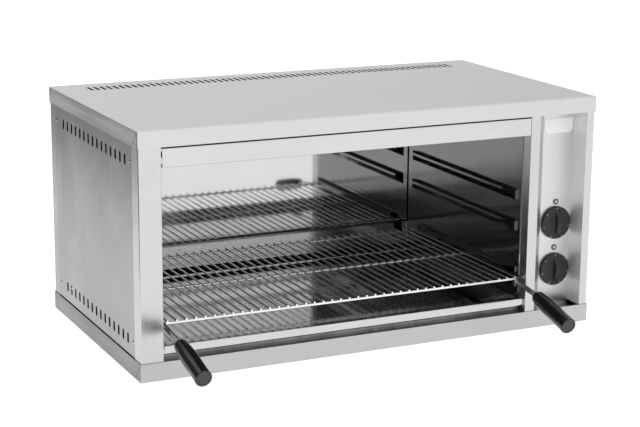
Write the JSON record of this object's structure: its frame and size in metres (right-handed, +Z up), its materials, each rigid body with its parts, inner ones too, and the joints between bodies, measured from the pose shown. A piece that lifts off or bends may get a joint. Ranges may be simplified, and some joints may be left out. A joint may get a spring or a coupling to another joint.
{
  "type": "cheese melter",
  "caption": "Countertop stainless cheese melter with an open-fronted grill cavity, a wire rack on side grips, a crumb tray and turn knobs beside it.",
  "frame": {"origin": "middle of the base's footprint, on the surface it stands on", "axes": "+Z up, -Y out of the open front towards the user, +X to the user's right where the controls are"},
  "size_m": [0.8, 0.6023, 0.385],
  "materials": {
    "cover_steel": "satin, grain along the width",
    "post_steel": "satin, upright grain",
    "side_steel": "satin, upright grain",
    "inner_steel": "bright rolled",
    "mirror_steel": "mirror polished",
    "galvanised": "galvanised",
    "wire_chrome": "plated",
    "screw_steel": "bright",
    "grip_black": "semi gloss",
    "knob_black": "satin",
    "bezel_dark": "satin",
    "lens": "translucent",
    "badge": "blank white",
    "element_sheath": "oxidised",
    "ceramic": "ceramic",
    "regulator_body": "moulded",
    "insulation": "mineral wool",
    "gland_black": "moulded",
    "brass": "plain"
  },
  "bodies": {
    "cabinet": {"base_plinth": "cover_steel", "top_cover": "cover_steel", "front_top_rail": "cover_steel", "left_front_post": "post_steel", "inner_front_post": "post_steel", "right_front_post": "post_steel", "left_rear_post": "post_steel", "right_rear_post": "post_steel", "left_side_panel": "side_steel", "right_side_panel": "side_steel", "rear_panel": "side_steel", "left_panel_screws": "screw_steel", "right_panel_screws": "screw_steel", "rear_panel_screws": "screw_steel", "cavity_left_wall": "inner_steel", "cavity_right_wall": "inner_steel", "cavity_back_mirror": "mirror_steel", "cavity_back_lower": "inner_steel", "cavity_ceiling": "inner_steel", "cavity_floor": "galvanised", "ceiling_insulation": "insulation", "left_tray_rail": "galvanised", "right_tray_rail": "galvanised", "front_heating_element": "element_sheath", "rear_heating_element": "element_sheath", "element_bushes": "ceramic", "element_studs": "screw_steel", "element_hanger_left": "galvanised", "element_hanger_middle": "galvanised", "element_hanger_right": "galvanised", "control_panel": "post_steel", "blank_badge": "badge", "upper_regulator": "regulator_body", "lower_regulator": "regulator_body", "upper_lamp_bezel": "bezel_dark", "lower_lamp_bezel": "bezel_dark", "upper_lamp_lens": "lens", "lower_lamp_lens": "lens", "terminal_block": "ceramic", "cable_gland": "gland_black", "cable_gland_nut": "gland_black", "earth_bolt": "brass", "heat_shield": "galvanised", "left_hanger_tab": "galvanised", "right_hanger_tab": "galvanised"},
    "rack": {"rack_grid": "wire_chrome", "left_handle_wire": "wire_chrome", "right_handle_wire": "wire_chrome", "left_grip": "grip_black", "right_grip": "grip_black"},
    "crumb_tray": {"crumb_tray": "inner_steel"},
    "upper_knob": {"upper_knob": "knob_black", "upper_knob_shaft": "screw_steel"},
    "lower_knob": {"lower_knob": "knob_black", "lower_knob_shaft": "screw_steel"}
  },
  "joints": [
    {"name": "rack_slide", "type": "slide", "parent": "cabinet", "child": "rack", "axis": [0, -1, 0], "range_m": [-0.01, 0.3]},
    {"name": "crumb_tray_slide", "type": "slide", "parent": "cabinet", "child": "crumb_tray", "axis": [0, -1, 0], "range_m": [0, 0.06]},
    {"name": "upper_knob_turn", "type": "hinge", "parent": "cabinet", "child": "upper_knob", "pos_m": [0.3545, -0.18, 0.1665], "axis": [0, 1, 0], "range_deg": [0, 310]},
    {"name": "lower_knob_turn", "type": "hinge", "parent": "cabinet", "child": "lower_knob", "pos_m": [0.3545, -0.18, 0.0855], "axis": [0, 1, 0], "range_deg": [0, 310]}
  ]
}
